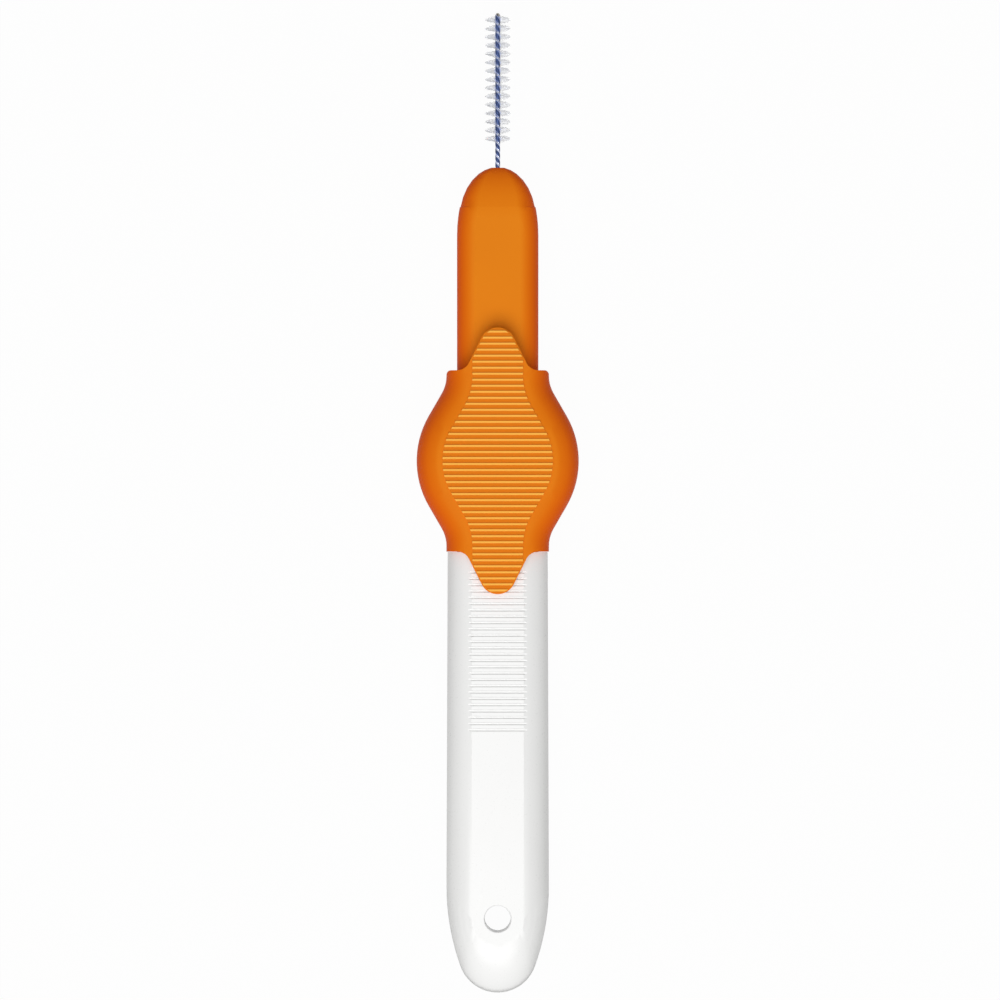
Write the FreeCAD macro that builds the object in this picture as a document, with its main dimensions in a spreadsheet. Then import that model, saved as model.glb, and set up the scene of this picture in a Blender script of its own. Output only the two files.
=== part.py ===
import FreeCAD, Part
import math
import os
import Sketcher

# Pocket interdental brush, in millimetres. It lies on its back: X is the width, Y runs from the
# hang hole to the brush tip, and Z rises to the photographed face. A brush holder plugs into a
# hollow handle, which is also the case of the brush once the holder is turned end for end.
# Each piece is drawn about the middle of the grip, then placed so that the origin lies on the
# table under the middle of the whole brush.

SIZES = {
    # holder: a flat bar with full round sides is the nose above the grip and the stem below it
    "nose_width": 8.14,
    "nose_thickness": 3.7,
    "nose_length": 20.35,
    "dome_width": 7.6,
    "dome_height": 5.1,
    "stem_length": 16.0,
    "stem_chamfer": 0.5,
    # holder: the bar swells from the dome to its full width over a rounded lead, past a small step
    "shoulder_setback": 4.05,
    "shoulder_step": 0.08,
    "shoulder_lead": 2.8,
    # holder: waisted grip
    "grip_length": 18.1,
    "grip_width": 16.2,
    "collar_width": 10.24,
    "bulb_radius": 9.0,
    "waist_degrees": 30.0,
    "flare_radius": 3.5,
    "flank_radius": 2.6,
    "collar_corner_radius": 0.45,
    # holder: tongues over the handle and over the nose
    "tongue_reach": 4.25,
    "tongue_tip_radius": 1.79,
    "tongue_taper_degrees": 26.6,
    "tongue_fillet_radius": 1.3,
    "tongue_thickness": 0.75,
    "tongue_clearance": 0.1,
    # holder: ribbed pads on both faces
    "pad_inset": 2.6,
    "pad_rise": 0.05,
    "pad_rim": 0.12,
    "rib_pitch": 0.6,
    "rib_width": 0.16,
    "rib_height": 0.15,
    "rib_draft": 0.06,
    # handle: a case round the bar, slightly wider towards the hang hole
    "case_wall": 0.95,
    "case_side_wall": 0.83,
    "case_spread": 0.12,
    "case_end_radius": 3.95,
    "case_end_length": 10.6,
    "strip_width": 5.2,
    "fit_clearance": 0.1,
    "seat_gap": 0.05,
    "socket_spare": 0.3,
    "bore_overlap": 0.55,
    "bore_point_degrees": 118.0,
    # handle: grip grooves and hang hole
    "groove_pitch": 0.63,
    "groove_width": 0.3,
    "groove_depth": 0.16,
    "groove_draft": 0.08,
    "groove_start": 2.0,
    "groove_run": 16.0,
    "hole_diameter": 2.6,
    "hole_inset": 7.45,
    "hole_rim_chamfer": 0.1,
    # twisted stem wire, with a tighter twist where it is bare
    "wire_diameter": 0.195,
    "bare_step": 0.7,
    "wire_reach": 15.4,
    "wire_anchor": 4.0,
    "wire_end_bevel": 0.05,
    "anchor_clearance": 0.01,
    "clamp_clearance": 0.008,
    # bristles
    "bristle_diameter": 2.6,
    "bristle_clearance": 0.25,
    "filament_width": 0.16,
    "filament_thickness": 0.1,
    "row_step": 0.848,
    "row_gap": 0.01,
    "first_row": 0.7,
    # every cut runs this far past the face that it opens
    "overrun": 0.5,
    # how near an edge has to lie to the place where it is looked for
    "edge_tolerance": 0.005,
}

ROW_COUNT = 15
# a strand is a tube with this many sides, drawn through this many sections for each row
STRAND_SIDES = 6
SECTIONS_PER_ROW = 5
# how far a strand's volume may lie from its section times its length
VOLUME_SHARE = 0.03
# filaments in a row overlap by a little, as they do where the wires press them together
FILAMENT_SPACING_SHARE = 0.95
# sections of the domed nose tip, as angles round its quarter ellipse, above the shoulder's step
DOME_DEGREES = [24, 36, 48, 60, 70, 80]
# sections of the shoulder, as shares of its lead
SHOULDER_SHARES = [0.0, 0.35, 0.625, 0.82, 1.0]
# levels of the rounded flanks of the grip, as angles round a quarter circle
FLANK_DEGREES = [0, 18, 36, 54, 72, 90]
# levels of the rounded flanks of the handle, from the middle to the face: shares of the half
# thickness, and how far each lies in from the outer outline towards the flat strip
CASE_HEIGHT_SHARES = [0.0, 0.261, 0.502, 0.711, 0.879, 1.0]
CASE_INSET_SHARES = [0.0, 0.088, 0.24, 0.449, 0.706, 1.0]

doc = FreeCAD.newDocument("interdental_brush")
sheet = doc.addObject("Spreadsheet::Sheet", "sizes")
for row, (alias, number) in enumerate(SIZES.items(), start=1):
    sheet.set(f"A{row}", alias)
    sheet.set(f"B{row}", str(number))
    sheet.setAlias(f"B{row}", alias)
doc.recompute()


def value(expression):
    return float(sheet.evalExpression(expression))


# heights above the mid plane, which the front and the back share
BAR_HALF = "(sizes.nose_thickness / 2)"
CASE_HALF = f"({BAR_HALF} + sizes.fit_clearance + sizes.case_wall)"
TONGUE_UNDER = f"({CASE_HALF} + sizes.tongue_clearance)"
GRIP_TOP = f"({TONGUE_UNDER} + sizes.tongue_thickness)"
RIB_FLOOR = f"({GRIP_TOP} + sizes.pad_rise)"
RIB_TOP = f"({RIB_FLOOR} + sizes.rib_height)"

# places along the brush, from the middle of the grip
COLLAR = "(sizes.grip_length / 2)"
TONGUE_TIP = f"({COLLAR} + sizes.tongue_reach)"
NOSE_TIP = f"({COLLAR} + sizes.nose_length)"
DOME_BASE = f"({NOSE_TIP} - sizes.dome_height)"
BRUSH_TIP = f"({NOSE_TIP} + sizes.wire_reach)"
STEM_END = f"(-{COLLAR} - sizes.stem_length)"
MOUTH = f"(-{COLLAR} - sizes.seat_gap)"
# the handle is as long as the nose and the brush that it covers, and the brush bore drains into
# the hang hole
BORE_END = f"({MOUTH} - sizes.nose_length - sizes.wire_reach - sizes.socket_spare)"
HOLE_PLACE = f"({BORE_END} - sizes.bore_overlap)"
CASE_END = f"({HOLE_PLACE} - sizes.hole_inset)"

# half widths and the envelope of the twisted pair
BAR_SIDE = "(sizes.nose_width / 2)"
CASE_SIDE = f"({BAR_SIDE} + sizes.fit_clearance + sizes.case_side_wall)"
STRAND_OFFSET = "((sizes.wire_diameter + sizes.filament_thickness) / 2 + sizes.clamp_clearance)"
STEM_RADIUS = f"({STRAND_OFFSET} + sizes.wire_diameter / 2)"

FRAME_SHIFT = f"(-({BRUSH_TIP} + {CASE_END}) / 2)"
FRAME_LIFT = RIB_TOP


def origin_feature(body, role):
    return next(item for item in body.Origin.OriginFeatures if item.Role == role)


def new_body(label):
    body = doc.addObject("PartDesign::Body", label)
    body.Label = label
    body.setExpression("Placement.Base.y", FRAME_SHIFT)
    body.setExpression("Placement.Base.z", FRAME_LIFT)
    return body


def new_sketch(body, name, role, offset="0"):
    sketch = body.newObject("Sketcher::SketchObject", name)
    sketch.AttachmentSupport = [(origin_feature(body, role), "")]
    sketch.MapMode = "FlatFace"
    sketch.setExpression("AttachmentOffset.Base.z", offset)
    return sketch


def section_at(body, name, place):
    # the XZ plane faces -Y, so a place along +Y is a negative offset
    return new_sketch(body, name, "XZ_Plane", f"-({place})")


def arc_between(first, last, radius, turn):
    # the arc of less than half a circle that leaves first for last, turning left for turn 1
    chord = last.sub(first)
    middle = first.add(last).multiply(0.5)
    left = FreeCAD.Vector(-chord.y, chord.x, 0).normalize()
    rise = math.sqrt(max(radius ** 2 - chord.Length ** 2 / 4, 0))
    centre = middle.add(left.multiply(rise * turn))
    begin, end = (first, last) if turn > 0 else (last, first)
    angles = [math.atan2(point.y - centre.y, point.x - centre.x) for point in (begin, end)]
    if angles[1] <= angles[0]:
        angles[1] += 2 * math.pi
    circle = Part.Circle(centre, FreeCAD.Vector(0, 0, 1), radius)
    return Part.ArcOfCircle(circle, angles[0], angles[1])


def add_outline(sketch, corners, arcs=None):
    # corners are (x, y) expressions in order; arcs maps a side to its (radius, turn)
    arcs = arcs or {}
    spots = [FreeCAD.Vector(value(x), value(y), 0) for x, y in corners]
    count = len(corners)
    first_side = sketch.GeometryCount
    starts, ends = [], []
    for side in range(count):
        here, there = spots[side], spots[(side + 1) % count]
        if side in arcs:
            radius, turn = arcs[side]
            sketch.addGeometry(arc_between(here, there, value(radius), turn), False)
            starts.append(1 if turn > 0 else 2)
            ends.append(2 if turn > 0 else 1)
        else:
            sketch.addGeometry(Part.LineSegment(here, there), False)
            starts.append(1)
            ends.append(2)
    bound = []
    for side, (x, y) in enumerate(corners):
        before = (side - 1) % count
        here = first_side + side
        sketch.addConstraint(
            Sketcher.Constraint("Coincident", first_side + before, ends[before], here, starts[side]))
        for kind, expression in (("DistanceX", x), ("DistanceY", y)):
            index = sketch.addConstraint(
                Sketcher.Constraint(kind, -1, 1, here, starts[side], value(expression)))
            bound.append((index, expression))
    for side, (radius, _) in arcs.items():
        index = sketch.addConstraint(
            Sketcher.Constraint("Radius", first_side + side, value(radius)))
        bound.append((index, radius))
    for index, expression in bound:
        sketch.setExpression(f"Constraints[{index}]", expression)


def add_box(sketch, left, right, bottom, top):
    add_outline(sketch, [(left, bottom), (right, bottom), (right, top), (left, top)])


def add_stadium(sketch, width, thickness):
    # a flat oval whose sides are half circles, each drawn as two quarter circles
    flat = f"({width} / 2 - {thickness} / 2)"
    half = f"({thickness} / 2)"
    corners = [
        (f"-{flat}", f"-{half}"), (flat, f"-{half}"), (f"{width} / 2", "0"), (flat, half),
        (f"-{flat}", half), (f"-({width} / 2)", "0"),
    ]
    add_outline(sketch, corners, {1: (half, 1), 2: (half, 1), 4: (half, 1), 5: (half, 1)})


def add_circle(sketch, place, diameter):
    centre = FreeCAD.Vector(0, value(place), 0)
    circle = sketch.addGeometry(
        Part.Circle(centre, FreeCAD.Vector(0, 0, 1), value(diameter) / 2), False)
    sketch.addConstraint(Sketcher.Constraint("PointOnObject", circle, 3, -2))
    height = sketch.addConstraint(
        Sketcher.Constraint("DistanceY", -1, 1, circle, 3, value(place)))
    across = sketch.addConstraint(Sketcher.Constraint("Diameter", circle, value(diameter)))
    sketch.setExpression(f"Constraints[{height}]", place)
    sketch.setExpression(f"Constraints[{across}]", diameter)


def extrude(body, kind, name, sketch, length, side="One side", flip=False):
    feature = body.newObject(f"PartDesign::{kind}", name)
    feature.Profile = sketch
    feature.SideType = side
    feature.Reversed = flip
    feature.setExpression("Length", length)
    doc.recompute()
    return feature


def loft(body, name, sketches):
    feature = body.newObject("PartDesign::AdditiveLoft", name)
    feature.Profile = sketches[0]
    feature.Sections = sketches[1:]
    feature.Ruled = True
    doc.recompute()
    return feature


def pattern_along(body, name, original, length, count):
    feature = body.newObject("PartDesign::LinearPattern", name)
    feature.Originals = [original]
    feature.Direction = (origin_feature(body, "Y_Axis"), [""])
    feature.setExpression("Length", length)
    feature.Occurrences = count
    body.Tip = feature
    doc.recompute()
    return feature


def edge_names(feature, wanted):
    return [f"Edge{number}" for number, edge in enumerate(feature.Shape.Edges, start=1) if wanted(edge)]


def dress(body, kind, name, base, wanted, size_name, size):
    feature = body.newObject(f"PartDesign::{kind}", name)
    feature.Base = (base, edge_names(base, wanted))
    feature.setExpression(size_name, size)
    doc.recompute()
    return feature


def close(first, second):
    return math.isclose(first, second, abs_tol=value("sizes.edge_tolerance"))


def grip_side(inset):
    # right side of the grip, (half width, place) from the bulb's end down a straight waist to the
    # flare and the collar's straight side
    slant = "sizes.waist_degrees * 1 deg"
    bulb = f"(sizes.bulb_radius - {inset})"
    flare = f"(sizes.flare_radius + {inset})"
    collar = f"(sizes.collar_width / 2 - {inset})"
    waist_half = f"(sizes.grip_width / 2 - sizes.bulb_radius + {bulb} * cos({slant}))"
    waist_place = f"({bulb} * sin({slant}))"
    # where the waist would meet the collar's side, and how far the flare reaches from there
    corner_place = f"({waist_place} + ({waist_half} - {collar}) / tan({slant}))"
    reach = f"({flare} * tan(sizes.waist_degrees / 2 * 1 deg))"
    spots = [
        (waist_half, waist_place),
        (f"({collar} + {reach} * sin({slant}))", f"({corner_place} - {reach} * cos({slant}))"),
        (collar, f"({corner_place} + {reach})"),
    ]
    return {"spots": spots, "collar": collar, "bulb": (bulb, 1), "flare": (flare, -1)}


def tongue_end(rim):
    # rounded end of a tongue: where its tip arc meets the straight taper
    taper = "sizes.tongue_taper_degrees * 1 deg"
    radius = f"(sizes.tongue_tip_radius - {rim})"
    return {
        "radius": radius,
        "half": f"({radius} * cos({taper}))",
        "place": f"({TONGUE_TIP} - {rim} - {radius} * (1 - sin({taper})))",
        "slope": f"tan({taper})",
        "sine": f"sin({taper})",
        "cosine": f"cos({taper})",
    }


def mirrored_left(corners):
    return [(f"-({x})", y) for x, y in reversed(corners)]


def mirrored_down(corners):
    return [(x, f"-({y})") for x, y in reversed(corners)]


def draw_grip(sketch, inset):
    side = grip_side(inset)
    far = f"({TONGUE_TIP} + sizes.overrun)"
    upper = side["spots"] + [(side["collar"], far)]
    right = mirrored_down(upper) + upper
    curves = {
        1: side["flare"], 3: side["bulb"], 5: side["flare"],
        9: side["flare"], 11: side["bulb"], 13: side["flare"],
    }
    add_outline(sketch, right + mirrored_left(right), curves)


def draw_pad(sketch):
    side = grip_side("sizes.pad_inset")
    end = tongue_end("sizes.pad_rim")
    knee = f"({end['place']} - ({side['collar']} - {end['half']}) / {end['slope']})"
    upper = side["spots"] + [(side["collar"], knee), (end["half"], end["place"])]
    right = mirrored_down(upper) + upper
    tip = (end["radius"], 1)
    curves = {
        2: side["flare"], 4: side["bulb"], 6: side["flare"], 9: tip,
        12: side["flare"], 14: side["bulb"], 16: side["flare"], 19: tip,
    }
    add_outline(sketch, right + mirrored_left(right), curves)


def draw_collar_cut(sketch, upper):
    # everything outside the tongue past the collar's end; the collar above has rounded corners
    end = tongue_end("0")
    fillet = "sizes.tongue_fillet_radius"
    fillet_half = (
        f"({end['half']} + ({fillet} + ({end['place']} - {COLLAR} - {fillet}) * {end['sine']})"
        f" / {end['cosine']})")
    out = "(sizes.collar_width / 2 + sizes.overrun)"
    far = f"({TONGUE_TIP} + 2 * sizes.overrun)"
    corner = "sizes.collar_corner_radius" if upper else "0"
    right = [
        (f"({fillet_half} - {fillet} * {end['cosine']})", f"({COLLAR} + {fillet} * (1 - {end['sine']}))"),
        (fillet_half, COLLAR),
    ]
    curves = {0: (fillet, 1)}
    if upper:
        right += [
            (f"(sizes.collar_width / 2 - {corner})", COLLAR),
            ("sizes.collar_width / 2", f"({COLLAR} - {corner})"),
        ]
        curves[2] = (corner, -1)
    right += [(out, f"({COLLAR} - {corner})"), (out, far)]
    right = [(end["half"], end["place"])] + right
    curves = {side + 1: curve for side, curve in curves.items()}
    count = len(right)
    for side, curve in list(curves.items()):
        curves[2 * count - 2 - side] = curve
    curves[2 * count - 1] = (end["radius"], -1)
    corners = right + mirrored_left(right)
    if not upper:
        corners = [(x, f"-({y})") for x, y in corners]
        curves = {side: (radius, -turn) for side, (radius, turn) in curves.items()}
    add_outline(sketch, corners, curves)


def add_slots(sketch, place, width, draft, floor, face):
    # the same slot with sloping sides in the front and in the back face, seen from the side
    half = f"({width} / 2)"
    floor_half = f"({half} - {draft})"
    far = f"({face} + sizes.overrun)"
    corners = [
        (f"({place} - {floor_half})", floor), (f"({place} + {floor_half})", floor),
        (f"({place} + {half})", face), (f"({place} + {half})", far),
        (f"({place} - {half})", far), (f"({place} - {half})", face),
    ]
    add_outline(sketch, corners)
    add_outline(sketch, mirrored_down(corners))


def make_holder():
    body = new_body("brush_holder")
    front = []
    for degrees in FLANK_DEGREES:
        drop_share = 1 - math.sin(math.radians(degrees))
        inset_share = 1 - math.cos(math.radians(degrees))
        front.append((f"({GRIP_TOP} - sizes.flank_radius * {drop_share})",
                      f"(sizes.flank_radius * {inset_share})"))
    back = [(f"-{height}", inset) for height, inset in reversed(front)]
    levels = []
    for number, (height, inset) in enumerate(back + front):
        level = new_sketch(body, f"grip_level_{number}", "XY_Plane", height)
        draw_grip(level, inset)
        levels.append(level)
    loft(body, "grip", levels)
    for name, upper in (("upper_collar", True), ("lower_collar", False)):
        cut = new_sketch(body, f"{name}_outline", "XY_Plane")
        draw_collar_cut(cut, upper)
        extrude(body, "Pocket", name, cut, f"2 * ({RIB_TOP} + sizes.overrun)", "Symmetric")

    pad_outline = new_sketch(body, "pad_outline", "XY_Plane")
    draw_pad(pad_outline)
    extrude(body, "Pad", "ribbed_pads", pad_outline, f"2 * {RIB_TOP}", "Symmetric")
    slots_each_way = math.floor(value(f"{TONGUE_TIP} / sizes.rib_pitch"))
    slot_outline = new_sketch(body, "rib_slot_outline", "YZ_Plane")
    slot_steps = 2 * slots_each_way
    add_slots(slot_outline, f"(-{slots_each_way} * sizes.rib_pitch)",
              "(sizes.rib_pitch - sizes.rib_width)", "sizes.rib_draft", RIB_FLOOR, RIB_TOP)
    slot = extrude(body, "Pocket", "rib_slot", slot_outline, "sizes.grip_width", "Symmetric")
    pattern_along(body, "rib_slots", slot, f"{slot_steps} * sizes.rib_pitch", slot_steps + 1)

    under = new_sketch(body, "tongue_gap_outline", "YZ_Plane")
    far = f"({TONGUE_TIP} + 2 * sizes.overrun)"
    add_box(under, COLLAR, far, f"-{TONGUE_UNDER}", TONGUE_UNDER)
    add_box(under, f"-{far}", f"-{COLLAR}", f"-{TONGUE_UNDER}", TONGUE_UNDER)
    extrude(body, "Pocket", "tongue_gaps", under, "sizes.grip_width", "Symmetric")

    bar_section = section_at(body, "bar_section", STEM_END)
    add_stadium(bar_section, "sizes.nose_width", "sizes.nose_thickness")
    shoulder_top = f"({NOSE_TIP} - sizes.shoulder_setback)"
    shoulder_base = f"({shoulder_top} - sizes.shoulder_lead)"
    bar = extrude(body, "Pad", "bar", bar_section, f"{shoulder_base} - {STEM_END}", flip=True)
    stem_end = value(STEM_END)
    dress(body, "Chamfer", "stem_lead_in", bar,
          lambda edge: all(close(vertex.Point.y, stem_end) for vertex in edge.Vertexes),
          "Size", "sizes.stem_chamfer")

    def dome_share(place):
        # how much of its full section the dome still has at a place
        return f"sqrt(1 - (max({place} - {DOME_BASE}; 0) / sizes.dome_height)^2)"

    swell = "((sizes.nose_width - sizes.dome_width) / 2)"
    lead_radius = f"((sizes.shoulder_lead^2 + {swell}^2) / (2 * {swell}))"
    spots = []
    for share in SHOULDER_SHARES:
        place = f"({shoulder_base} + {share} * sizes.shoulder_lead)"
        drop = f"({lead_radius} - sqrt({lead_radius}^2 - ({share} * sizes.shoulder_lead)^2))"
        spots.append((place, f"(sizes.nose_width - 2 * {drop})"))
    step_top = f"({shoulder_top} + sizes.shoulder_step)"
    spots.append((step_top, f"(sizes.dome_width * {dome_share(step_top)})"))
    for degrees in DOME_DEGREES:
        place = f"({DOME_BASE} + {math.sin(math.radians(degrees))} * sizes.dome_height)"
        spots.append((place, f"(sizes.dome_width * {dome_share(place)})"))
    sections = []
    for number, (place, width) in enumerate(spots):
        section = section_at(body, f"nose_section_{number}", place)
        add_stadium(section, width, f"(sizes.nose_thickness * {dome_share(place)})")
        sections.append(section)
    loft(body, "nose_tip", sections)

    bore_section = section_at(body, "wire_bore_section", f"({NOSE_TIP} + sizes.overrun)")
    add_circle(bore_section, "0", f"2 * ({STEM_RADIUS} + sizes.anchor_clearance)")
    extrude(body, "Pocket", "wire_bore", bore_section, "(sizes.wire_anchor + sizes.overrun)", flip=True)
    return body


def case_outline(sketch, inset_share):
    # one level of the handle, between its outer outline and the flat strip with its round end
    shoulder = f"({CASE_SIDE} + sizes.case_spread)"
    end_centre = f"({CASE_END} + sizes.case_end_radius)"
    straight_end = f"({CASE_END} + sizes.case_end_length)"
    drop = f"({straight_end} - {end_centre})"
    side_radius = (
        f"(({shoulder}^2 + {drop}^2 - sizes.case_end_radius^2)"
        f" / (2 * ({shoulder} - sizes.case_end_radius)))")
    cosine_share = f"(({side_radius} - {shoulder}) / ({side_radius} - sizes.case_end_radius))"
    sine_share = f"({drop} / ({side_radius} - sizes.case_end_radius))"
    strip = "(sizes.strip_width / 2)"

    def between(outer, inner):
        return f"({outer} + ({inner} - {outer}) * {inset_share})"

    outer_tip = f"({end_centre} - sizes.case_end_radius * {sine_share})"
    inner_tip = f"({HOLE_PLACE} - {strip} * {sine_share})"
    right = [
        (between(f"sizes.case_end_radius * {cosine_share}", f"{strip} * {cosine_share}"),
         between(outer_tip, inner_tip)),
        (between(shoulder, strip), between(straight_end, HOLE_PLACE)),
        (between(CASE_SIDE, strip), MOUTH),
    ]
    flank = (between(side_radius, strip), 1)
    tip = (between("sizes.case_end_radius", strip), 1)
    add_outline(sketch, right + mirrored_left(right), {0: flank, 4: flank, 5: tip})


def make_case():
    body = new_body("handle_case")
    levels = []
    front = list(zip(CASE_HEIGHT_SHARES, CASE_INSET_SHARES))
    back = [(-height_share, inset_share) for height_share, inset_share in front[:0:-1]]
    for number, (height_share, inset_share) in enumerate(back + front):
        level = new_sketch(body, f"case_level_{number}", "XY_Plane", f"{height_share} * {CASE_HALF}")
        case_outline(level, inset_share)
        levels.append(level)
    loft(body, "shell", levels)

    socket_depth = "(sizes.nose_length + sizes.socket_spare)"
    play = "2 * sizes.fit_clearance"
    socket = section_at(body, "socket_section", f"({MOUTH} + sizes.overrun)")
    add_stadium(socket, f"(sizes.nose_width + {play})", f"(sizes.nose_thickness + {play})")
    extrude(body, "Pocket", "socket", socket, f"{socket_depth} + sizes.overrun", flip=True)

    bore_radius = "(sizes.bristle_diameter / 2 + sizes.bristle_clearance)"
    point_length = f"({bore_radius} / tan(sizes.bore_point_degrees / 2 * 1 deg))"
    bore_top = f"({MOUTH} - {socket_depth} + sizes.overrun)"
    bore_profile = new_sketch(body, "brush_bore_profile", "XY_Plane")
    add_outline(bore_profile, [
        ("0", BORE_END), (bore_radius, f"({BORE_END} + {point_length})"), (bore_radius, bore_top),
        ("0", bore_top)])
    bore = body.newObject("PartDesign::Groove", "brush_bore")
    bore.Profile = bore_profile
    bore.ReferenceAxis = (origin_feature(body, "Y_Axis"), [""])
    bore.Angle = 360
    doc.recompute()

    hole_outline = new_sketch(body, "hang_hole_outline", "XY_Plane")
    add_circle(hole_outline, HOLE_PLACE, "sizes.hole_diameter")
    through = f"2 * ({CASE_HALF} + sizes.overrun)"
    hole = extrude(body, "Pocket", "hang_hole", hole_outline, through, "Symmetric")
    face_height = value(CASE_HALF)
    hole_radius = value("sizes.hole_diameter / 2")

    def is_rim(edge):
        if edge.Degenerated or not isinstance(edge.Curve, Part.Circle):
            return False
        level = close(abs(edge.Curve.Center.z), face_height)
        return level and close(edge.Curve.Radius, hole_radius)

    dress(body, "Chamfer", "hang_hole_rims", hole, is_rim, "Size", "sizes.hole_rim_chamfer")

    grooves = math.floor(value("sizes.groove_run / sizes.groove_pitch")) + 1
    first = f"({MOUTH} - sizes.groove_start - {grooves - 1} * sizes.groove_pitch)"
    groove_outline = new_sketch(body, "groove_outline", "YZ_Plane")
    add_slots(groove_outline, first, "sizes.groove_width", "sizes.groove_draft",
              f"({CASE_HALF} - sizes.groove_depth)", CASE_HALF)
    groove = extrude(body, "Pocket", "groove", groove_outline, f"2 * {CASE_SIDE}", "Symmetric")
    pattern_along(body, "grooves", groove, f"{grooves - 1} * sizes.groove_pitch", grooves)
    return body


def new_piece(label, shape, place="0"):
    piece = doc.addObject("Part::Feature", label)
    piece.Label = label
    piece.Shape = shape
    piece.setExpression("Placement.Base.y", f"{FRAME_SHIFT} + {place}")
    piece.setExpression("Placement.Base.z", FRAME_LIFT)
    return piece


FIRST_ROW = f"({BRUSH_TIP} - sizes.first_row)"
BARE_TOP = f"({FIRST_ROW} - {ROW_COUNT - 0.5} * sizes.row_step)"


def half_turn(place):
    # length of the brush over which the pair makes half a turn
    return value("sizes.row_step" if place >= value(BARE_TOP) else "sizes.bare_step")


def twist_angle(place):
    # left-hand twist of the pair: the first strand lies in front where a row points sideways
    bare_top = value(BARE_TOP)
    in_rows = (max(place, bare_top) - value(FIRST_ROW)) / value("sizes.row_step")
    in_bare = min(place - bare_top, 0) / value("sizes.bare_step")
    return -math.pi * (in_rows + in_bare)


def strand_shape(phase):
    # one wire of the pair: a many-sided tube through sections square to its helix
    offset = value(STRAND_OFFSET)
    wire_radius = value("sizes.wire_diameter / 2")
    bevel = value("sizes.wire_end_bevel")
    start = value(f"{NOSE_TIP} - sizes.wire_anchor")
    finish = value(f"{BRUSH_TIP} - sizes.wire_end_bevel")
    steps = math.ceil((twist_angle(start) - twist_angle(finish)) / math.pi * SECTIONS_PER_ROW)

    def section(place, radius):
        angle = twist_angle(place) + phase
        rise = math.pi / half_turn(place) * offset
        outward = FreeCAD.Vector(math.sin(angle), 0, math.cos(angle))
        way = FreeCAD.Vector(-rise * math.cos(angle), 1, rise * math.sin(angle)).normalize()
        across = way.cross(FreeCAD.Vector(0, 0, 1)).normalize()
        up = across.cross(way)
        centre = FreeCAD.Vector(0, place, 0).add(outward * offset)
        corners = []
        for side in range(STRAND_SIDES + 1):
            turn = 2 * math.pi * side / STRAND_SIDES
            spoke = (across * math.cos(turn)).add(up * math.sin(turn))
            corners.append(centre.add(spoke * radius))
        return Part.makePolygon(corners)

    places = [start + (finish - start) * step / steps for step in range(steps + 1)]
    rings = [section(place, wire_radius) for place in places]
    tube = Part.makeLoft(rings + [section(finish + bevel, wire_radius - bevel)], True, True)
    length = math.hypot(finish - start, offset * (twist_angle(start) - twist_angle(finish)))
    face = STRAND_SIDES / 2 * math.sin(2 * math.pi / STRAND_SIDES) * wire_radius ** 2
    if not math.isclose(tube.Volume, face * length, rel_tol=VOLUME_SHARE):
        raise RuntimeError("a strand's volume differs from its section times its length")
    return tube


def row_shape():
    # the filaments of one half turn, crossing between the two strands, about the row's own middle
    length = value("sizes.bristle_diameter")
    width = value("sizes.filament_width")
    thickness = value("sizes.filament_thickness")
    stack = value("sizes.row_step - sizes.row_gap") - width
    count = math.ceil(stack / (width * FILAMENT_SPACING_SHARE)) + 1
    row_place = value(FIRST_ROW)
    filaments = []
    for number in range(count):
        lift = stack * (number / (count - 1) - 0.5)
        turn = math.degrees(twist_angle(row_place + lift))
        corner = FreeCAD.Vector(-length / 2, -width / 2, -thickness / 2)
        filament = Part.makeBox(length, width, thickness, corner)
        filament.rotate(FreeCAD.Vector(), FreeCAD.Vector(0, 1, 0), turn)
        filament.translate(FreeCAD.Vector(0, row_place + lift, 0))
        filaments.append(filament)
    return filaments[0].multiFuse(filaments[1:]).Solids[0]


def make_brush():
    pieces = [
        new_piece("wire_strand_a", strand_shape(0)),
        new_piece("wire_strand_b", strand_shape(math.pi)),
    ]
    row = row_shape()
    for number in range(ROW_COUNT):
        label = f"bristle_row_{number + 1:02d}"
        pieces.append(new_piece(label, row, f"(-{number} * sizes.row_step)"))
    return pieces


def check_document():
    for item in doc.Objects:
        if "Invalid" in item.State or "Error" in item.State:
            raise RuntimeError(f"{item.Name} failed: {item.State}")
        if item.TypeId in ("PartDesign::Pocket", "PartDesign::Groove"):
            if item.Shape.Volume >= item.BaseFeature.Shape.Volume:
                raise RuntimeError(f"{item.Name} cuts nothing")


def write_pieces(pieces):
    for piece in pieces:
        if piece.Shape.isNull() or not piece.Shape.isValid() or len(piece.Shape.Solids) != 1:
            raise RuntimeError(f"{piece.Label} isn't one valid solid")
    os.makedirs("parts", exist_ok=True)
    for piece in pieces:
        piece.Shape.exportStep(f"parts/{piece.Label}.step")
        box = piece.Shape.optimalBoundingBox()
        print(f"{piece.Label}: {piece.Shape.Volume:.3f} mm3, x {box.XMin:.2f} to {box.XMax:.2f}, "
              f"y {box.YMin:.2f} to {box.YMax:.2f}, z {box.ZMin:.2f} to {box.ZMax:.2f}")


sub_parts = [make_case(), make_holder()] + make_brush()
doc.recompute()
check_document()
write_pieces(sub_parts)
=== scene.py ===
import bpy
import math
import random
from mathutils import Matrix, Vector


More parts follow.
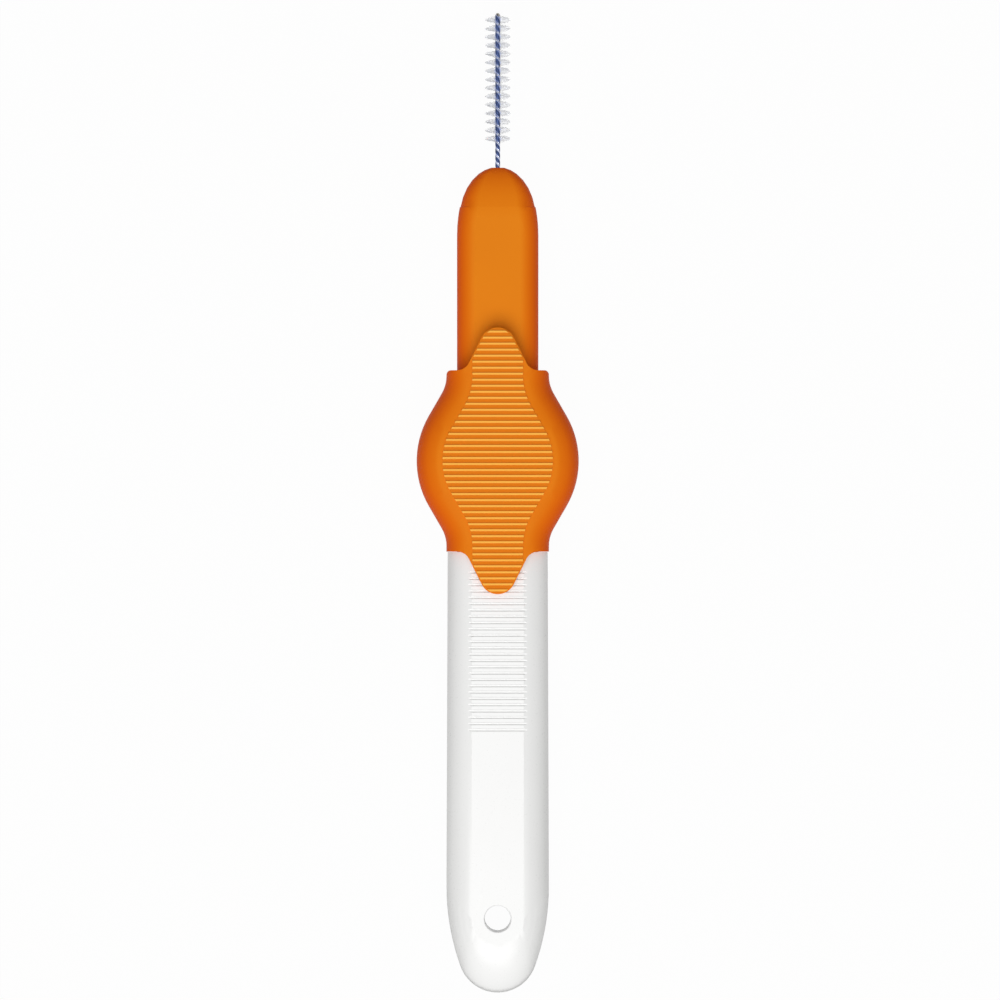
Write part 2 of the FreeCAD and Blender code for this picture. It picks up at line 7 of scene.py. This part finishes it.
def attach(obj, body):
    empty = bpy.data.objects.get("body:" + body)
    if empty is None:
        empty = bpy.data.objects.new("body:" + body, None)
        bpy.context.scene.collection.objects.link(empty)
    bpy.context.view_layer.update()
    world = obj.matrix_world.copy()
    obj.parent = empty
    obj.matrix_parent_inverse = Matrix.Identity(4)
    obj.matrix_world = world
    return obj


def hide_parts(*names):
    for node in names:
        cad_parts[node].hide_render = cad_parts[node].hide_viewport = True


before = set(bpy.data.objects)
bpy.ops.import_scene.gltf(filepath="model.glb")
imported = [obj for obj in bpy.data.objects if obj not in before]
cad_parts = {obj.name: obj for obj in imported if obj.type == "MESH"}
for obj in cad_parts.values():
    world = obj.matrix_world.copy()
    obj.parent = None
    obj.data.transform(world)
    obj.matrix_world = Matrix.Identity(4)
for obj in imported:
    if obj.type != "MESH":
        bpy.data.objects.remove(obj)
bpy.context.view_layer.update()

mm = 0.001
midHeight = 3.95 * mm  # the brush's middle plane above the table
scene = bpy.context.scene
scene.view_settings.view_transform = "Standard"

# sockets of a Mix node that blends colours: share, first and second colour, result
mixShare, mixFirst, mixSecond, mixResult = 0, 6, 7, 2


def linear(code):
    channels = [int(code[place:place + 2], 16) / 255 for place in (1, 3, 5)]
    return [c / 12.92 if c <= 0.04045 else ((c + 0.055) / 1.055) ** 2.4 for c in channels] + [1.0]


# adds one node: settings by property or socket, links as socket to the output that feeds it
def addNode(tree, kind, settings={}, links={}):
    node = tree.nodes.new(kind)
    for key, value in settings.items():
        if isinstance(key, str) and hasattr(node, key):
            setattr(node, key, value)
        else:
            node.inputs[key].default_value = value
    for key, source in links.items():
        tree.links.new(source, node.inputs[key])
    return node


def startMaterial(name):
    material = bpy.data.materials.new(name)
    material.use_nodes = True
    material.node_tree.nodes.clear()
    return material, material.node_tree


def dress(piece, material):
    piece.data.materials.clear()
    piece.data.materials.append(material)


def pick(piece):
    if bpy.context.object and bpy.context.object.mode != "OBJECT":
        bpy.ops.object.mode_set(mode="OBJECT")
    bpy.ops.object.select_all(action="DESELECT")
    piece.select_set(True)
    bpy.context.view_layer.objects.active = piece


def nameIt(piece, name):
    piece.name = name
    piece.data.name = name
    return piece


def joinAll(pieces, name):
    pick(pieces[0])
    for piece in pieces[1:]:
        piece.select_set(True)
    bpy.ops.object.join()
    return nameIt(bpy.context.object, name)


# in edit mode, selects the faces whose middle and normal pass the test
def selectFaces(piece, test):
    bpy.ops.object.mode_set(mode="OBJECT")
    for polygon in piece.data.polygons:
        polygon.select = test(polygon.center, polygon.normal)
    bpy.ops.object.mode_set(mode="EDIT")


# What both mouldings share: cloudy flow marks, painted shade on walls that turn to the side, and a fine
# grain left by the polished steel mould. Real grain is about 0.05 mm, drawn about 0.2 mm so that it shows
mould = {"flowDetail": 3.0, "grainDetail": 2.0, "grainStrength": 0.6, "ior": 1.49}


def flowTint(tree, place, look):
    flow = addNode(tree, "ShaderNodeTexNoise",
                   {"Scale": 1 / look["flowSize"], "Detail": mould["flowDetail"]}, {"Vector": place})
    tint = addNode(tree, "ShaderNodeMix", {"data_type": "RGBA", mixFirst: linear(look["flat"]),
                                           mixSecond: linear(look["flowMark"])},
                   {mixShare: flow.outputs["Fac"]})
    return tint.outputs[mixResult]


# painted shade: the side colour comes in with the sine of the wall's tilt, squared and then raised to
# sideOnset
def sideShadeTint(tree, normal, face, look):
    turn = addNode(tree, "ShaderNodeSeparateXYZ", {}, {0: normal})
    squared = addNode(tree, "ShaderNodeMath", {"operation": "MULTIPLY"},
                      {0: turn.outputs["Z"], 1: turn.outputs["Z"]})
    lean = addNode(tree, "ShaderNodeMath", {"operation": "SUBTRACT", 0: 1.0, "use_clamp": True},
                   {1: squared.outputs[0]})
    share = addNode(tree, "ShaderNodeMath", {"operation": "POWER", 1: look["sideOnset"]},
                    {0: lean.outputs[0]})
    tint = addNode(tree, "ShaderNodeMix", {"data_type": "RGBA", mixSecond: linear(look["side"])},
                   {mixShare: share.outputs[0], mixFirst: face})
    return tint.outputs[mixResult]


def finishMoulding(tree, place, tint, look):
    grain = addNode(tree, "ShaderNodeTexNoise",
                    {"Scale": 1 / look["grainSize"], "Detail": mould["grainDetail"]}, {"Vector": place})
    rough = addNode(tree, "ShaderNodeMapRange", {"To Min": look["roughLow"], "To Max": look["roughHigh"]},
                    {"Value": grain.outputs["Fac"]})
    bump = addNode(tree, "ShaderNodeBump",
                   {"Strength": mould["grainStrength"], "Distance": look["grainDepth"]},
                   {"Height": grain.outputs["Fac"]})
    shader = addNode(tree, "ShaderNodeBsdfPrincipled",
                     {"IOR": mould["ior"], "Specular IOR Level": look["sheen"]},
                     {"Base Color": tint, "Roughness": rough.outputs["Result"],
                      "Normal": bump.outputs["Normal"]})
    addNode(tree, "ShaderNodeOutputMaterial", {}, {"Surface": shader.outputs["BSDF"]})


# Moulded polypropylene, white: an even, slightly waxy white with a soft sheen, a fine grain and
# faint cloudy flow marks, with painted shade a touch greyer on the steep side walls
whiteLook = {"flat": "#F5F5F4", "flowMark": "#F1F1F0", "flowSize": 9 * mm,
             "side": "#DCDCDB", "sideOnset": 4, "sheen": 0.5,
             "grainSize": 0.22 * mm, "grainDepth": 0.0025 * mm, "roughLow": 0.24, "roughHigh": 0.34}


def moldedWhite():
    material, tree = startMaterial("moldedPolypropyleneWhite")
    spot = addNode(tree, "ShaderNodeTexCoord")
    place = spot.outputs["Object"]
    tint = sideShadeTint(tree, spot.outputs["Normal"], flowTint(tree, place, whiteLook), whiteLook)
    finishMoulding(tree, place, tint, whiteLook)
    return material


# Moulded polypropylene, orange: painted shade turns it darker and redder where the surface turns to the
# side, the rib crests are paler with a painted highlight and the slots between them deeper with painted
# shade.
# Heights are from the middle plane, the same on both faces
orangeLook = {"flat": "#EC8611", "flowMark": "#E68010", "flowSize": 7 * mm,
              "side": "#DF5304", "sideOnset": 0.5, "sheen": 0.06,
              "slotShade": "#DE7B10", "crestHighlight": "#FFBA4E",
              "slotShadeFrom": 3.77 * mm, "crestHighlightFrom": 3.8 * mm, "crestHighlightTo": 3.88 * mm,
              "grainSize": 0.2 * mm, "grainDepth": 0.003 * mm, "roughLow": 0.4, "roughHigh": 0.55}


def moldedOrange():
    material, tree = startMaterial("moldedPolypropyleneOrange")
    spot = addNode(tree, "ShaderNodeTexCoord")
    place = spot.outputs["Object"]
    tint = sideShadeTint(tree, spot.outputs["Normal"], flowTint(tree, place, orangeLook), orangeLook)
    height = addNode(tree, "ShaderNodeSeparateXYZ", {}, {0: place})
    fromMid = addNode(tree, "ShaderNodeMath", {"operation": "SUBTRACT", 1: midHeight},
                      {0: height.outputs["Z"]})
    away = addNode(tree, "ShaderNodeMath", {"operation": "ABSOLUTE"}, {0: fromMid.outputs[0]})
    # painted shade in the slots between the ribs, then a painted highlight on the rib crests
    for colour, low, high in (("slotShade", "slotShadeFrom", "crestHighlightFrom"), ("crestHighlight", "crestHighlightFrom", "crestHighlightTo")):
        share = addNode(tree, "ShaderNodeMapRange",
                        {"From Min": orangeLook[low], "From Max": orangeLook[high]},
                        {"Value": away.outputs[0]})
        pad = addNode(tree, "ShaderNodeMix", {"data_type": "RGBA", mixSecond: linear(orangeLook[colour])},
                      {mixShare: share.outputs["Result"], mixFirst: tint})
        tint = pad.outputs[mixResult]
    finishMoulding(tree, place, tint, orangeLook)
    return material


# how far a point lies from the stem's middle line
def fromStem(tree, place):
    section = addNode(tree, "ShaderNodeMapping", {"Location": (0, 0, -midHeight), "Scale": (1, 0, 1)},
                      {"Vector": place})
    out = addNode(tree, "ShaderNodeVectorMath", {"operation": "LENGTH"}, {0: section.outputs[0]})
    return out.outputs["Value"]


# Lacquered stainless steel wire: a clear blue lacquer over bright metal, navy with painted shade towards
# the stem's middle and blue with a painted highlight on the outer crests, with a pale painted highlight
# stripe on the side that faces the other wire, which shows at each half turn
coatLook = {"groove": "#151F3D", "crestHighlight": "#4A619C", "grooveAt": 0.13 * mm, "crestHighlightAt": 0.24 * mm,
            "stripeHighlight": "#E4EBFF", "stripeHighlightTo": 0.095 * mm, "stripeFadeFrom": 0.14 * mm,
            "smear": 0.4 * mm, "smearDetail": 2.0, "metal": 0.6, "roughLow": 0.15, "roughHigh": 0.3}


def blueCoat():
    material, tree = startMaterial("lacqueredSteelBlue")
    place = addNode(tree, "ShaderNodeTexCoord").outputs["Object"]
    # painted shade towards the stem's middle line and a painted highlight on the outer crests
    crestLight = addNode(tree, "ShaderNodeMapRange",
                     {"From Min": coatLook["grooveAt"], "From Max": coatLook["crestHighlightAt"],
                      "interpolation_type": "SMOOTHSTEP"}, {"Value": fromStem(tree, place)})
    smear = addNode(tree, "ShaderNodeTexNoise",
                    {"Scale": 1 / coatLook["smear"], "Detail": coatLook["smearDetail"]}, {"Vector": place})
    share = addNode(tree, "ShaderNodeMath", {"operation": "MULTIPLY"},
                    {0: crestLight.outputs["Result"], 1: smear.outputs["Fac"]})
    lacquer = addNode(tree, "ShaderNodeMix", {"data_type": "RGBA", mixFirst: linear(coatLook["groove"]),
                                              mixSecond: linear(coatLook["crestHighlight"])},
                      {mixShare: share.outputs[0]})
    # a pale painted highlight stripe on the side of each wire that faces the other
    gap = addNode(tree, "ShaderNodeAttribute", {"attribute_name": "fromMate"})
    offStripe = addNode(tree, "ShaderNodeMapRange",
                   {"From Min": coatLook["stripeHighlightTo"], "From Max": coatLook["stripeFadeFrom"]},
                   {"Value": gap.outputs["Fac"]})
    tint = addNode(tree, "ShaderNodeMix", {"data_type": "RGBA", mixFirst: linear(coatLook["stripeHighlight"])},
                   {mixShare: offStripe.outputs["Result"], mixSecond: lacquer.outputs[mixResult]})
    rough = addNode(tree, "ShaderNodeMapRange",
                    {"To Min": coatLook["roughLow"], "To Max": coatLook["roughHigh"]},
                    {"Value": smear.outputs["Fac"]})
    shader = addNode(tree, "ShaderNodeBsdfPrincipled", {"Metallic": coatLook["metal"]},
                     {"Base Color": tint.outputs[mixResult], "Roughness": rough.outputs["Result"]})
    addNode(tree, "ShaderNodeOutputMaterial", {}, {"Surface": shader.outputs["BSDF"]})
    return material


# Stainless steel wire, drawn and then snipped: grey and bright, with fine lines along the wire
steelLook = {"bright": "#B9B4AC", "dull": "#6E675E", "lineSize": 0.03 * mm, "lineStretch": 0.15,
             "lineDetail": 2.0, "roughLow": 0.2, "roughHigh": 0.45}


def bareSteel():
    material, tree = startMaterial("drawnStainlessSteel")
    place = addNode(tree, "ShaderNodeTexCoord").outputs["Object"]
    along = addNode(tree, "ShaderNodeMapping", {"Scale": (1, steelLook["lineStretch"], 1)},
                    {"Vector": place})
    lines = addNode(tree, "ShaderNodeTexNoise",
                    {"Scale": 1 / steelLook["lineSize"], "Detail": steelLook["lineDetail"]},
                    {"Vector": along.outputs[0]})
    tint = addNode(tree, "ShaderNodeMix", {"data_type": "RGBA", mixFirst: linear(steelLook["bright"]),
                                           mixSecond: linear(steelLook["dull"])},
                   {mixShare: lines.outputs["Fac"]})
    rough = addNode(tree, "ShaderNodeMapRange",
                    {"To Min": steelLook["roughLow"], "To Max": steelLook["roughHigh"]},
                    {"Value": lines.outputs["Fac"]})
    shader = addNode(tree, "ShaderNodeBsdfPrincipled", {"Metallic": 1.0},
                     {"Base Color": tint.outputs[mixResult], "Roughness": rough.outputs["Result"]})
    addNode(tree, "ShaderNodeOutputMaterial", {}, {"Surface": shader.outputs["BSDF"]})
    return material


# Drawn nylon filament: milky and half clear, each thread a little different, with painted shade and a
# painted blue reflection of the wire close to it. Real threads are finer and leave light between them, so
# the fans let part of it through
nylonLook = {"milky": "#F7F8FA", "shade": "#A9C3FF", "threadSize": 0.06 * mm, "threadDetail": 1.0,
             "tintFrom": 0.2 * mm, "tintTo": 0.4 * mm, "wireShare": 1.6, "tipShare": 0.1,
             "ior": 1.53, "clear": 0.75, "open": 0.6, "roughLow": 0.3, "roughHigh": 0.5}


def clearNylon():
    material, tree = startMaterial("drawnNylonFilament")
    place = addNode(tree, "ShaderNodeTexCoord").outputs["Object"]
    threads = addNode(tree, "ShaderNodeTexNoise",
                      {"Scale": 1 / nylonLook["threadSize"], "Detail": nylonLook["threadDetail"]},
                      {"Vector": place})
    out = fromStem(tree, place)
    reach = {"From Min": nylonLook["tintFrom"], "From Max": nylonLook["tintTo"]}
    # painted shade and blue reflection, strongest next to the wire and fading towards the tips
    tipward = addNode(tree, "ShaderNodeMapRange",
                      {**reach, "To Min": nylonLook["wireShare"], "To Max": nylonLook["tipShare"]},
                      {"Value": out})
    share = addNode(tree, "ShaderNodeMath", {"operation": "MULTIPLY"},
                    {0: threads.outputs["Fac"], 1: tipward.outputs["Result"]})
    tint = addNode(tree, "ShaderNodeMix", {"data_type": "RGBA", mixFirst: linear(nylonLook["milky"]),
                                           mixSecond: linear(nylonLook["shade"])},
                   {mixShare: share.outputs[0]})
    rough = addNode(tree, "ShaderNodeMapRange",
                    {"To Min": nylonLook["roughLow"], "To Max": nylonLook["roughHigh"]},
                    {"Value": threads.outputs["Fac"]})
    # threads lie close together where the wires grip them, and part from there
    apart = addNode(tree, "ShaderNodeMapRange", reach, {"Value": out})
    clear = addNode(tree, "ShaderNodeMath", {"operation": "MULTIPLY", 1: nylonLook["clear"]},
                    {0: apart.outputs["Result"]})
    passing = addNode(tree, "ShaderNodeMath", {"operation": "MULTIPLY", 1: nylonLook["open"]},
                      {0: apart.outputs["Result"]})
    shader = addNode(tree, "ShaderNodeBsdfPrincipled", {"IOR": nylonLook["ior"]},
                     {"Base Color": tint.outputs[mixResult], "Roughness": rough.outputs["Result"],
                      "Transmission Weight": clear.outputs[0]})
    between = addNode(tree, "ShaderNodeBsdfTransparent")
    blend = addNode(tree, "ShaderNodeMixShader", {},
                    {0: passing.outputs[0], 1: shader.outputs["BSDF"], 2: between.outputs[0]})
    addNode(tree, "ShaderNodeOutputMaterial", {}, {"Surface": blend.outputs[0]})
    return material


whitePlastic = moldedWhite()
orangePlastic = moldedOrange()
coatSkin = blueCoat()
cutSteel = bareSteel()
nylon = clearNylon()
print("finishes made")


# The two mouldings: the solid's own surface, merged and shaded round where the source has flat bands.
# Angles are in degrees
shellFinish = {"mergeGap": 0.0004 * mm, "flatWithin": 0.2, "roundBelow": 22, "flatWeight": 60}


# blend tells by an edge's middle which creases are rounded over
def softenCopy(nodeName, pieceName, body, material, blend=None):
    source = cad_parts[nodeName]
    piece = bpy.data.objects.new(pieceName, source.data.copy())
    scene.collection.objects.link(piece)
    nameIt(piece, pieceName)
    pick(piece)
    bpy.ops.object.mode_set(mode="EDIT")
    bpy.ops.mesh.select_all(action="SELECT")
    bpy.ops.mesh.remove_doubles(threshold=shellFinish["mergeGap"])
    bpy.ops.mesh.dissolve_limited(angle_limit=math.radians(shellFinish["flatWithin"]))
    bpy.ops.object.mode_set(mode="OBJECT")
    if piece.data.has_custom_normals:
        bpy.ops.mesh.customdata_custom_splitnormals_clear()
    bpy.ops.object.shade_smooth_by_angle(angle=math.radians(shellFinish["roundBelow"]))
    if blend:
        bpy.ops.object.mode_set(mode="EDIT")
        bpy.ops.mesh.select_mode(type="EDGE")
        bpy.ops.mesh.select_all(action="DESELECT")
        bpy.ops.object.mode_set(mode="OBJECT")
        spots = [vertex.co for vertex in piece.data.vertices]
        for edge in piece.data.edges:
            edge.select = blend((spots[edge.vertices[0]] + spots[edge.vertices[1]]) / 2)
        bpy.ops.object.mode_set(mode="EDIT")
        bpy.ops.mesh.mark_sharp(clear=True)
        bpy.ops.mesh.select_mode(type="FACE")
        bpy.ops.object.mode_set(mode="OBJECT")
    steady = piece.modifiers.new("steadyFlats", "WEIGHTED_NORMAL")
    steady.keep_sharp = True
    steady.weight = shellFinish["flatWeight"]
    bpy.ops.object.modifier_apply(modifier="steadyFlats")
    dress(piece, material)
    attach(piece, body)
    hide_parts(nodeName)
    print(pieceName, len(piece.data.polygons), "faces")


# the flat strip's edge fades out round its end, outside the rim of the hang hole
stripEnd = {"start": -39.5 * mm, "hole": Vector((0, -41.525 * mm)), "rim": 1.5 * mm}


def nearStripEnd(middle):
    return middle.y < stripEnd["start"] and (middle.xy - stripEnd["hole"]).length > stripEnd["rim"]


softenCopy("handle_case", "handleShell", "handle", whitePlastic, nearStripEnd)
softenCopy("brush_holder", "holderShell", "holder", orangePlastic)


# The stem: two wires twisted left-handed, coated, with the coat ending just below the snipped tip, where
# the cutter has pinched the two ends together. Sections are half sizes outwards and across, and
# roundings are how far an end is drawn in and raised, in half sizes
stem = {"offset": 0.15 * mm, "coat": (0.0975 * mm, 0.19 * mm),
        "coreOffset": 0.12 * mm, "core": (0.115 * mm, 0.17 * mm),
        "firstRow": 48.275 * mm, "rowStep": 0.848 * mm, "bareTop": 35.979 * mm, "bareStep": 0.7 * mm,
        "anchor": 29.53 * mm, "coatEnd": 48.7 * mm,
        "coreStart": 48.6 * mm, "coreEnd": 49.1 * mm, "cut": 48.9 * mm,
        "sides": 14, "ringsPerStep": 14, "smoothBelow": 40,
        "joinGap": 0.016 * mm, "mendGap": 0.008 * mm, "cutGap": 0.0016 * mm,
        "endDepth": 2, "endFacing": 0.6, "roundings": ((0.25, 0.3), (0.3, 0.2)),
        "pinch": 0.4, "pinchReach": 0.3 * mm}


def twistAt(y):
    inRows = (max(y, stem["bareTop"]) - stem["firstRow"]) / stem["rowStep"]
    inBare = min(y - stem["bareTop"], 0) / stem["bareStep"]
    return -math.pi * (inRows + inBare)


# one length of wire: an oval ring square to the helix (the soft coat is squeezed where the strands
# grip the filaments), swept by Screw about the stem's own line
def twistLength(halves, offset, start, end, step, phase):
    angle = twistAt(start) + phase
    rate = -math.pi / step
    outward = Vector((math.sin(angle), 0, math.cos(angle)))
    along = Vector((offset * rate * math.cos(angle), 1, -offset * rate * math.sin(angle))).normalized()
    across = along.cross(outward)
    bpy.ops.object.select_all(action="DESELECT")
    bpy.ops.mesh.primitive_circle_add(
        vertices=stem["sides"], radius=1, location=offset * outward + Vector((0, start, 0)),
        rotation=Matrix((outward, across, along)).transposed().to_euler())
    ring = bpy.context.object
    ring.scale = (halves[0], halves[1], 1)
    bpy.ops.object.transform_apply(location=True, rotation=True, scale=True)
    rings = max(2, round(stem["ringsPerStep"] * (end - start) / step))
    sweep = ring.modifiers.new("twist", "SCREW")
    sweep.axis = "Y"
    sweep.angle = rate * (end - start)
    sweep.screw_offset = end - start
    sweep.steps = rings
    sweep.render_steps = rings
    sweep.use_smooth_shade = True
    bpy.ops.object.modifier_apply(modifier="twist")
    return ring


# closes a wire's ends and rounds the upper one; a snipped wire is cut square before that, pinched after
def closeWire(piece, radius, cut=None):
    pick(piece)
    bpy.ops.object.mode_set(mode="EDIT")
    bpy.ops.mesh.select_all(action="SELECT")
    bpy.ops.mesh.remove_doubles(threshold=stem["joinGap"])
    bpy.ops.mesh.fill_holes(sides=0)
    bpy.ops.mesh.normals_make_consistent(inside=False)
    if cut:
        bpy.ops.mesh.bisect(plane_co=(0, cut, 0), plane_no=(0, 1, 0), use_fill=True, clear_outer=True,
                            threshold=stem["cutGap"])
        bpy.ops.mesh.select_all(action="SELECT")
        bpy.ops.mesh.remove_doubles(threshold=stem["mendGap"])
    bpy.ops.object.mode_set(mode="OBJECT")
    top = max(vertex.co.y for vertex in piece.data.vertices) - stem["endDepth"] * radius
    bpy.ops.object.mode_set(mode="EDIT")
    selectFaces(piece, lambda middle, normal: middle.y > top and normal.y > stem["endFacing"])
    for drawIn, rise in stem["roundings"]:
        bpy.ops.mesh.inset(thickness=drawIn * radius, use_even_offset=False)
        bpy.ops.transform.translate(value=(0, rise * radius, 0))
    if cut:
        # the cutter's jaws draw the end in towards the middle of the pair
        bpy.ops.transform.resize(value=(stem["pinch"], 1, stem["pinch"]), center_override=(0, cut, 0),
                                 use_proportional_edit=True, proportional_edit_falloff="SHARP",
                                 proportional_size=stem["pinchReach"])
    bpy.ops.object.mode_set(mode="OBJECT")
    piece.location.z = midHeight
    bpy.ops.object.transform_apply(location=True)
    bpy.ops.object.shade_smooth_by_angle(angle=math.radians(stem["smoothBelow"]))


# how far each point of a wire lies from the plane between the two wires, for its painted highlight stripe
def markGap(piece, phase):
    gap = piece.data.attributes.new("fromMate", "FLOAT", "POINT")
    for vertex, mark in zip(piece.data.vertices, gap.data):
        angle = twistAt(vertex.co.y) + phase
        mark.value = vertex.co.x * math.sin(angle) + (vertex.co.z - midHeight) * math.cos(angle)


def makeStrand(letter, phase):
    lower = twistLength(stem["coat"], stem["offset"], stem["anchor"], stem["bareTop"],
                        stem["bareStep"], phase)
    upper = twistLength(stem["coat"], stem["offset"], stem["bareTop"], stem["coatEnd"],
                        stem["rowStep"], phase)
    skin = joinAll([lower, upper], "wireCoat_" + letter)
    closeWire(skin, stem["coat"][0])
    markGap(skin, phase)
    dress(skin, coatSkin)
    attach(skin, "holder")
    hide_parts("wire_strand_" + letter)
    core = twistLength(stem["core"], stem["coreOffset"], stem["coreStart"], stem["coreEnd"],
                       stem["rowStep"], phase)
    nameIt(core, "wireCore_" + letter)
    closeWire(core, stem["core"][0], stem["cut"])
    dress(core, cutSteel)
    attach(core, "holder")
    print("strand", letter, len(skin.data.polygons), "faces")


makeStrand("a", 0)
makeStrand("b", math.pi)


# The filaments: one thread modelled, copied into a few fans that turn with the wire, and these into
# fifteen rows. Scatter is a standard deviation, in degrees for turn and tilt
fan = {"threads": 13, "layers": (-0.027 * mm, 0.027 * mm), "radius": 0.024 * mm, "half": 1.29 * mm,
       "sides": 6, "endFacing": 0.9, "tipBevel": 0.6, "smoothBelow": 50, "spread": 0.96,
       "lengthScatter": 0.025, "turnScatter": 4.5, "tiltScatter": 1.5, "seed": 26, "kinds": 3, "rows": 15}
draw = random.Random(fan["seed"])


def makeThread():
    bpy.ops.object.select_all(action="DESELECT")
    bpy.ops.mesh.primitive_cylinder_add(vertices=fan["sides"], radius=fan["radius"], depth=2 * fan["half"],
                                        rotation=(0, math.pi / 2, 0))
    thread = bpy.context.object
    bpy.ops.object.transform_apply(rotation=True)
    bpy.ops.object.mode_set(mode="EDIT")
    selectFaces(thread, lambda middle, normal: abs(normal.x) > fan["endFacing"])
    bpy.ops.mesh.bevel(offset=fan["tipBevel"] * fan["radius"], segments=1)
    bpy.ops.object.mode_set(mode="OBJECT")
    bpy.ops.object.shade_smooth_by_angle(angle=math.radians(fan["smoothBelow"]))
    return thread


def makeFan(thread):
    copies = []
    for layer in fan["layers"]:
        for number in range(fan["threads"]):
            share = (number + 0.5) / fan["threads"] - 0.5
            along = share * fan["spread"] * stem["rowStep"]
            pick(thread)
            bpy.ops.object.duplicate(linked=False)
            copy = bpy.context.object
            turn = -math.pi * along / stem["rowStep"] + math.radians(draw.gauss(0, fan["turnScatter"]))
            copy.rotation_euler = (0, turn, math.radians(draw.gauss(0, fan["tiltScatter"])))
            copy.scale.x = 1 - abs(draw.gauss(0, fan["lengthScatter"]))
            copy.location = (layer * math.sin(turn), along, layer * math.cos(turn))
            bpy.ops.object.transform_apply(location=True, rotation=True, scale=True)
            copies.append(copy)
    return joinAll(copies, "fan")


thread = makeThread()
fans = [makeFan(thread) for kind in range(fan["kinds"])]
for number in range(fan["rows"]):
    pick(fans[number % len(fans)])
    bpy.ops.object.duplicate(linked=False)
    row = nameIt(bpy.context.object, "filamentFan_%02d" % (number + 1))
    row.location = (0, stem["firstRow"] - number * stem["rowStep"], midHeight)
    row.rotation_euler.y = math.pi * (number // len(fans))
    bpy.ops.object.transform_apply(location=True, rotation=True)
    dress(row, nylon)
    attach(row, "holder")
    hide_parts("bristle_row_%02d" % (number + 1))
for spare in fans + [thread]:
    bpy.data.objects.remove(spare, do_unlink=True)
print("fans", fan["rows"], "of", len(row.data.polygons), "faces")


# Stage: pale floor that is white to the lens but keeps the shadow, a wide soft lamp overhead
studio = {"floorHalf": 0.6, "paper": "#C8C8C6", "fibre": "#D2D2D0", "fibreSize": 0.5 * mm, "glow": 0.97,
          "worldLevel": 0.45, "lampSize": 0.6, "lampPlace": (-0.04, -0.25, 0.59), "lampPower": 3.35}


# 1 for rays that show the background: to the lens, in reflections and through clear pieces
def showsBackground(tree):
    path = addNode(tree, "ShaderNodeLightPath")
    seen = addNode(tree, "ShaderNodeMath", {"operation": "MAXIMUM"},
                   {0: path.outputs["Is Camera Ray"], 1: path.outputs["Is Glossy Ray"]})
    seenThrough = addNode(tree, "ShaderNodeMath", {"operation": "MAXIMUM"},
                          {0: seen.outputs[0], 1: path.outputs["Is Transmission Ray"]})
    return seenThrough.outputs[0]


# Matt paper: an even pale grey sheet with faint fibres, lit white where it is the background
def whitePaper():
    material, tree = startMaterial("whitePaperSweep")
    share = addNode(tree, "ShaderNodeMath", {"operation": "MULTIPLY", 1: studio["glow"]},
                    {0: showsBackground(tree)})
    fibre = addNode(tree, "ShaderNodeTexNoise", {"Scale": 1 / studio["fibreSize"]},
                    {"Vector": addNode(tree, "ShaderNodeTexCoord").outputs["Object"]})
    shade = addNode(tree, "ShaderNodeMix", {"data_type": "RGBA", mixFirst: linear(studio["paper"]),
                                            mixSecond: linear(studio["fibre"])},
                    {mixShare: fibre.outputs["Fac"]})
    matt = addNode(tree, "ShaderNodeBsdfDiffuse", {}, {"Color": shade.outputs[mixResult]})
    white = addNode(tree, "ShaderNodeEmission", {"Strength": 1.0})
    blend = addNode(tree, "ShaderNodeMixShader", {},
                    {0: share.outputs[0], 1: matt.outputs[0], 2: white.outputs[0]})
    addNode(tree, "ShaderNodeOutputMaterial", {}, {"Surface": blend.outputs[0]})
    return material


bpy.ops.object.select_all(action="DESELECT")
bpy.ops.mesh.primitive_plane_add(size=2 * studio["floorHalf"])
floor = nameIt(bpy.context.object, "paperFloor")
dress(floor, whitePaper())

world = bpy.data.worlds.new("softRoom")
scene.world = world
world.use_nodes = True
room = world.node_tree
room.nodes.clear()
level = addNode(room, "ShaderNodeMapRange", {"To Min": studio["worldLevel"], "To Max": 1.0},
                {"Value": showsBackground(room)})
sky = addNode(room, "ShaderNodeBackground", {}, {"Strength": level.outputs["Result"]})
addNode(room, "ShaderNodeOutputWorld", {}, {"Surface": sky.outputs[0]})

lamp = bpy.data.objects.new("topSoftbox", bpy.data.lights.new("topSoftbox", "AREA"))
lamp.data.size = studio["lampSize"]
lamp.data.energy = studio["lampPower"]
lamp.location = studio["lampPlace"]
lamp.rotation_euler = (Vector((0, 0, 0)) - lamp.location).to_track_quat("-Z", "Y").to_euler()
scene.collection.objects.link(lamp)

# Camera straight above, long lens: 0.1 mm to a pixel at the brush's middle height
lens = {"focal": 500, "sensor": 36, "frame": 100 * mm, "aim": (0.23 * mm, 0.275 * mm)}
camera = bpy.data.objects.new("camera", bpy.data.cameras.new("camera"))
camera.data.lens = lens["focal"]
camera.data.sensor_width = lens["sensor"]
camera.location = (*lens["aim"], midHeight + lens["frame"] * lens["focal"] / lens["sensor"])
scene.collection.objects.link(camera)
scene.camera = camera
print("stage set")
